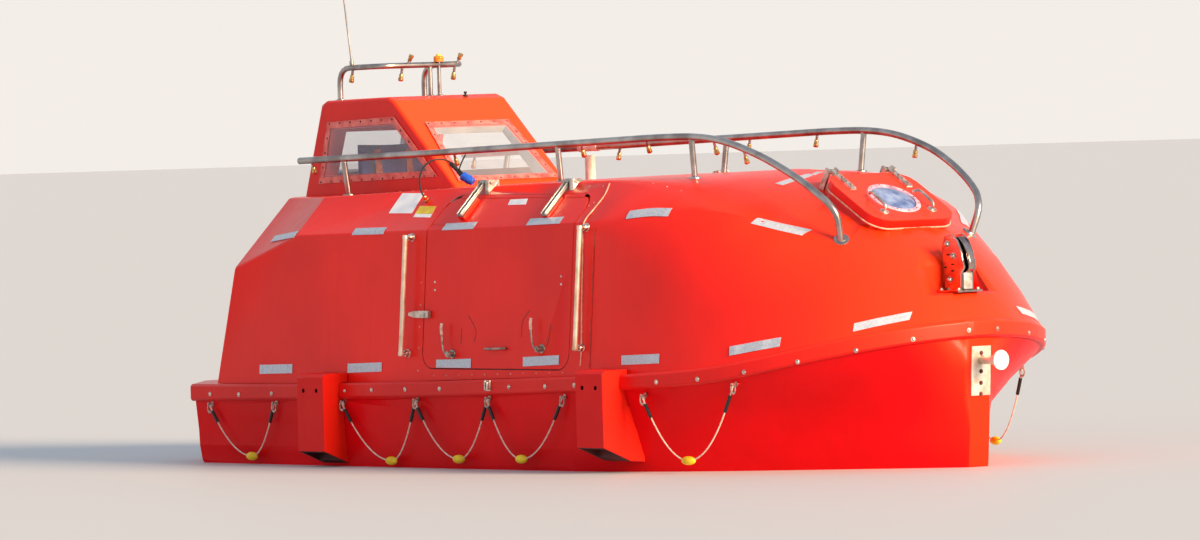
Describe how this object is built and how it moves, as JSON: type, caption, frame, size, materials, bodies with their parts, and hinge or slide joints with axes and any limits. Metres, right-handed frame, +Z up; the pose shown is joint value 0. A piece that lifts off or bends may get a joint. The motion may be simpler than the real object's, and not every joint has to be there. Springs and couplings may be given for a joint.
{
  "type": "enclosed lifeboat",
  "caption": "Totally enclosed davit-launched lifeboat with conning tower, side doors, forward hatch, release hooks, handrails, steering nozzle and propeller.",
  "frame": {"origin": "on the designed waterline, on the centreline, halfway along the boat", "axes": "+X to the bow, +Y to port, +Z up"},
  "size_m": [5.8796, 2.55, 3.8771],
  "materials": {
    "hull_gelcoat": "gloss",
    "strake_gelcoat": "gloss",
    "canopy_gelcoat": "gloss",
    "tower_gelcoat": "gloss",
    "stainless_arm": "brushed",
    "porthole_glass": "clear",
    "window_pane": "clear, a little milky",
    "stainless_tube": "polished",
    "beacon_lens": "clear amber",
    "antenna_white": "satin",
    "grab_rail_steel": "satin cream",
    "stem_plate_steel": "galvanised",
    "hook_steel": "polished",
    "grab_line_rope": "braided",
    "lead_rubber": "matt",
    "plug_blue": "satin",
    "propeller_bronze": "polished",
    "liner": "satin",
    "engine_paint": "satin",
    "seat_cover": "coated cloth",
    "console_grey": "satin",
    "wheel_black": "satin"
  },
  "bodies": {
    "boat": {"hull_shell": "hull_gelcoat", "rubbing_strake": "strake_gelcoat", "canopy_shell": "canopy_gelcoat", "conning_tower": "tower_gelcoat", "tower_window_starboard": "window_pane", "tower_window_port": "window_pane", "tower_window_front": "window_pane", "tower_window_aft": "window_pane", "starboard_fender_block_aft": "strake_gelcoat", "starboard_fender_block_fwd": "strake_gelcoat", "port_fender_block_aft": "strake_gelcoat", "port_fender_block_fwd": "strake_gelcoat", "starboard_handrail": "stainless_tube", "port_handrail": "stainless_tube", "tower_rail": "stainless_tube", "beacon": "beacon_lens", "antenna": "antenna_white", "starboard_grab_rail_aft": "grab_rail_steel", "starboard_grab_rail_fwd": "grab_rail_steel", "port_grab_rail_aft": "grab_rail_steel", "port_grab_rail_fwd": "grab_rail_steel", "stem_plate_with_towing_pin": "stem_plate_steel", "forward_hook": "hook_steel", "aft_hook": "hook_steel", "starboard_grab_line_aft": "grab_line_rope", "starboard_grab_line_mid": "grab_line_rope", "starboard_grab_line_fwd": "grab_line_rope", "port_grab_line_aft": "grab_line_rope", "port_grab_line_mid": "grab_line_rope", "port_grab_line_fwd": "grab_line_rope", "charging_lead": "lead_rubber", "charging_plug": "plug_blue", "inner_moulding": "liner", "engine_block": "engine_paint", "helm_seat": "seat_cover", "helm_console": "console_grey"},
    "starboard_door": {"starboard_door": "canopy_gelcoat", "starboard_door_arm_aft": "stainless_arm", "starboard_door_arm_fwd": "stainless_arm"},
    "port_door": {"port_door": "canopy_gelcoat", "port_door_arm_aft": "stainless_arm", "port_door_arm_fwd": "stainless_arm"},
    "forward_hatch": {"forward_hatch_lid": "canopy_gelcoat", "forward_hatch_porthole": "porthole_glass"},
    "steering_nozzle": {"steering_nozzle": "hull_gelcoat"},
    "propeller": {"propeller": "propeller_bronze"},
    "helm_wheel": {"helm_wheel": "wheel_black"}
  },
  "joints": [
    {"name": "starboard_door_hinge", "type": "hinge", "parent": "boat", "child": "starboard_door", "pos_m": [0, -0.826, 1.512], "axis": [-1, 0, 0], "range_deg": [0, 95]},
    {"name": "port_door_hinge", "type": "hinge", "parent": "boat", "child": "port_door", "pos_m": [0, 0.826, 1.512], "axis": [1, 0, 0], "range_deg": [0, 95]},
    {"name": "forward_hatch_hinge", "type": "hinge", "parent": "boat", "child": "forward_hatch", "pos_m": [1.92957, 0, 1.53086], "axis": [0, -1, 0], "range_deg": [0, 100]},
    {"name": "steering_nozzle_turn", "type": "hinge", "parent": "boat", "child": "steering_nozzle", "pos_m": [-2.625, 0, -0.56], "axis": [0, 0, 1], "range_deg": [-35, 35]},
    {"name": "propeller_spin", "type": "hinge", "parent": "boat", "child": "propeller", "pos_m": [-2.625, 0, -0.56], "axis": [1, 0, 0], "continuous": true},
    {"name": "helm_wheel_turn", "type": "hinge", "parent": "boat", "child": "helm_wheel", "pos_m": [-1.45, 0, 1.15], "axis": [1, 0, 0], "range_deg": [-210, 210]}
  ],
  "couplings": [
    {"joint": "helm_wheel_turn", "follows": "steering_nozzle_turn", "ratio": 6}
  ]
}
